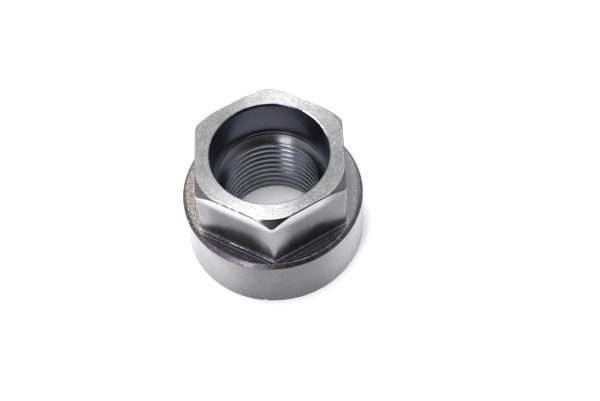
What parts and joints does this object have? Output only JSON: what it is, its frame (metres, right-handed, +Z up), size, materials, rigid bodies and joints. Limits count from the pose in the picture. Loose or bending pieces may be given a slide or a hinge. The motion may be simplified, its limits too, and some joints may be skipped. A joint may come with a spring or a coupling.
{
  "type": "hex nut",
  "caption": "Hexagon nut on a tall round collar, counterbored from the top, with a fine internal thread through the lower part.",
  "frame": {"origin": "centre of the bearing face, on the thread's axis", "axes": "+Z up the thread's axis, out of the counterbore; one corner of the hexagon points to -Y"},
  "size_m": [0.045, 0.045, 0.0327],
  "materials": {
    "dark_steel": "black oxide, satin, worn bright on the top face and the edges"
  },
  "bodies": {
    "root": {"nut_body": "dark_steel"}
  },
  "joints": []
}
